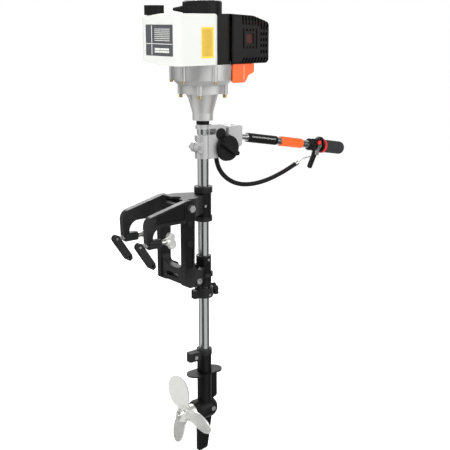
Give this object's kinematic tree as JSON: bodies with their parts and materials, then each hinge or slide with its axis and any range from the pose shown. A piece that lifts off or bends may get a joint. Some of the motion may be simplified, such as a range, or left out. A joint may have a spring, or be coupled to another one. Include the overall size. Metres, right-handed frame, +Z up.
{
  "type": "portable outboard motor",
  "caption": "Small petrol outboard: engine head, aluminium leg, folding tiller, transom clamp bracket, bevel gear case and propeller.",
  "frame": {"origin": "where the transom's top edge and outer face meet the bracket, at mid-width", "axes": "+Z up along the leg, +X aft of the transom, +Y to the left seen from the boat looking aft"},
  "size_m": [0.6825, 0.1886, 1.0971],
  "materials": {
    "bracket_black": "satin",
    "bare_steel": "brushed",
    "cast_aluminium": "cast",
    "leg_aluminium": "satin",
    "black_plastic": "matte",
    "orange_plastic": "gloss",
    "tank_plastic": "translucent satin",
    "grey_cast": "cast satin",
    "nylon": "matte",
    "grip_rubber": "matte",
    "black_rubber": "matte",
    "red_plastic": "gloss",
    "iron": "machined",
    "yellow_zinc": "zinc plated"
  },
  "bodies": {
    "root": {"clamp_bracket": "bracket_black", "tilt_bolt": "bracket_black"},
    "left_pad": {"left_clamp_pad": "cast_aluminium"},
    "right_pad": {"right_clamp_pad": "cast_aluminium"},
    "left_screw": {"left_clamp_screw": "bare_steel"},
    "right_screw": {"right_clamp_screw": "bare_steel"},
    "left_lever": {"left_screw_lever": "bracket_black"},
    "right_lever": {"right_screw_lever": "bracket_black"},
    "swivel": {"upper_swivel_sleeve": "bracket_black", "lower_swivel_sleeve": "bracket_black", "swivel_bushes": "nylon", "friction_collar": "bracket_black", "swivel_bolts": "bare_steel"},
    "friction_knob": {"friction_knob": "bracket_black"},
    "leg": {"leg_tube": "leg_aluminium", "gear_case": "bracket_black", "bearing_carrier": "bracket_black", "ball_bearings": "bare_steel", "shaft_bushes": "nylon", "leg_bolts": "bare_steel", "clutch_housing": "cast_aluminium", "neck_ring": "bracket_black", "fan_housing": "cast_aluminium", "engine_bolts": "yellow_zinc", "crankcase": "cast_aluminium", "cylinder": "cast_aluminium", "piston": "cast_aluminium", "muffler": "iron", "carburettor": "cast_aluminium", "air_filter_cover": "black_plastic", "spark_plug": "bare_steel", "engine_shroud": "black_plastic", "cylinder_cover": "black_plastic", "lower_cowl": "orange_plastic", "starter_housing": "black_plastic", "fuel_tank": "tank_plastic", "tiller_bracket": "grey_cast", "bracket_plug": "black_rubber", "control_conduit": "black_rubber"},
    "crank": {"crankshaft": "bare_steel", "flywheel": "cast_aluminium", "clutch_shoes": "iron"},
    "drive_line": {"drive_shaft": "bare_steel", "clutch_drum": "bare_steel"},
    "propeller_unit": {"propeller_shaft": "bare_steel", "propeller": "cast_aluminium", "prop_pin": "bare_steel"},
    "tiller": {"tiller_head": "grey_cast", "tiller_tube": "leg_aluminium", "grip": "grip_rubber", "grip_flange": "red_plastic", "switch_housing": "black_plastic", "lever_bracket": "bare_steel", "throttle_cable": "black_rubber"},
    "tiller_knob": {"tiller_knob": "black_plastic"},
    "throttle_lever": {"throttle_lever": "black_plastic"},
    "stop_button": {"stop_button": "red_plastic"},
    "starter_handle": {"starter_handle": "black_plastic"},
    "fuel_cap": {"fuel_cap": "black_plastic"},
    "choke_lever": {"choke_lever": "black_plastic"}
  },
  "joints": [
    {"name": "tilt", "type": "hinge", "parent": "root", "child": "swivel", "pos_m": [0.019, 0, 0.031], "axis": [0, -1, 0], "range_deg": [0, 70]},
    {"name": "steer", "type": "hinge", "parent": "swivel", "child": "leg", "pos_m": [0.096, 0, 0], "axis": [0, 0, 1], "continuous": true},
    {"name": "friction_knob_turn", "type": "hinge", "parent": "swivel", "child": "friction_knob", "pos_m": [0.12, 0, -0.192], "axis": [1, 0, 0], "continuous": true},
    {"name": "crank_spin", "type": "hinge", "parent": "leg", "child": "crank", "pos_m": [0.096, 0, 0.4], "axis": [0, 0, 1], "continuous": true},
    {"name": "prop_spin", "type": "hinge", "parent": "leg", "child": "propeller_unit", "pos_m": [0.038, 0, -0.495], "axis": [1, 0, 0], "continuous": true},
    {"name": "drive_spin", "type": "hinge", "parent": "leg", "child": "drive_line", "pos_m": [0.096, 0, -0.47], "axis": [0, 0, 1], "continuous": true},
    {"name": "tiller_fold", "type": "hinge", "parent": "leg", "child": "tiller", "pos_m": [0.146, 0, 0.153], "axis": [0, 1, 0], "range_deg": [-8, 65], "deforming": ["control_conduit"]},
    {"name": "tiller_knob_turn", "type": "hinge", "parent": "leg", "child": "tiller_knob", "pos_m": [0.146, -0.03, 0.153], "axis": [0, 1, 0], "continuous": true},
    {"name": "throttle_squeeze", "type": "hinge", "parent": "tiller", "child": "throttle_lever", "pos_m": [0.46054, 0, 0.10982], "axis": [0, -1, 0], "range_deg": [0, 30], "stiffness_Nm_per_rad": 0.08, "springref_deg": -5.73},
    {"name": "stop_press", "type": "slide", "parent": "tiller", "child": "stop_button", "axis": [0, 1, 0], "range_m": [0, 0.0018], "stiffness_N_per_m": 800},
    {"name": "starter_pull", "type": "slide", "parent": "leg", "child": "starter_handle", "axis": [-0.7071, 0.7071, 0], "range_m": [0, 0.5], "stiffness_N_per_m": 12, "springref_m": -0.2},
    {"name": "fuel_cap_turn", "type": "hinge", "parent": "leg", "child": "fuel_cap", "pos_m": [-0.001, 0.047, 0.46], "axis": [0, 0, 1], "continuous": true},
    {"name": "choke_turn", "type": "hinge", "parent": "leg", "child": "choke_lever", "pos_m": [0.14005, 0.062, 0.395], "axis": [0, 1, 0], "range_deg": [0, 60]},
    {"name": "left_pad_slide", "type": "slide", "parent": "root", "child": "left_pad", "axis": [1, 0, 0], "range_m": [-0.013, 0.002]},
    {"name": "left_screw_turn", "type": "hinge", "parent": "left_pad", "child": "left_screw", "pos_m": [-0.08, 0.047, -0.037], "axis": [1, 0, 0], "range_deg": [-90, 90]},
    {"name": "left_lever_swing", "type": "hinge", "parent": "left_screw", "child": "left_lever", "pos_m": [-0.117, 0.047, -0.037], "axis": [0, 1, 0], "range_deg": [0, 120]},
    {"name": "right_pad_slide", "type": "slide", "parent": "root", "child": "right_pad", "axis": [1, 0, 0], "range_m": [-0.013, 0.002]},
    {"name": "right_screw_turn", "type": "hinge", "parent": "right_pad", "child": "right_screw", "pos_m": [-0.08, -0.047, -0.037], "axis": [1, 0, 0], "range_deg": [-90, 90]},
    {"name": "right_lever_swing", "type": "hinge", "parent": "right_screw", "child": "right_lever", "pos_m": [-0.117, -0.047, -0.037], "axis": [0, 1, 0], "range_deg": [0, 120]}
  ],
  "couplings": [
    {"joint": "drive_spin", "follows": "prop_spin", "ratio": -1.5}
  ]
}
